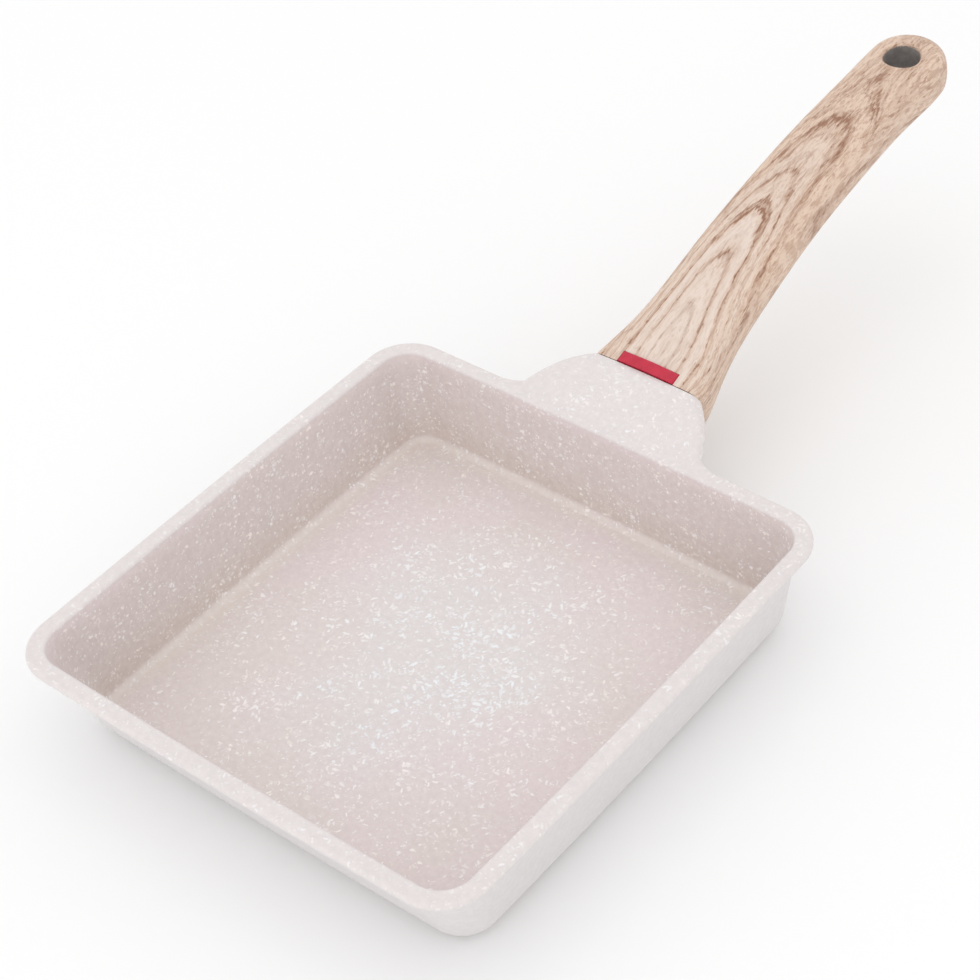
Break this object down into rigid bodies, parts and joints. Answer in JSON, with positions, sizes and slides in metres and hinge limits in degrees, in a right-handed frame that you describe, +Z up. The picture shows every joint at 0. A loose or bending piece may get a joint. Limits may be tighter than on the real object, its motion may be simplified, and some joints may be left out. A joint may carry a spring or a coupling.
{
  "type": "tamagoyaki pan",
  "caption": "Small rectangular omelette pan with a pale stone-effect coating and a wood-effect handle.",
  "frame": {"origin": "middle of the base, on the plane that the pan rests on", "axes": "+X across the bowl, +Y along the pan from the front wall towards the handle, +Z up out of the bowl"},
  "size_m": [0.162, 0.3513, 0.0771],
  "materials": {
    "stone_coating": "satin pale stone-effect coating with white flecks",
    "plate_steel": "brushed",
    "wood_effect_grip": "matte with a printed wood grain",
    "red_plastic": "satin",
    "fixing_steel": "satin"
  },
  "bodies": {
    "root": {"pan_body": "stone_coating", "induction_plate": "plate_steel", "handle": "wood_effect_grip", "red_tag": "red_plastic", "threaded_insert": "fixing_steel", "flat_washer": "fixing_steel", "spring_washer": "fixing_steel", "handle_screw": "fixing_steel"}
  },
  "joints": []
}
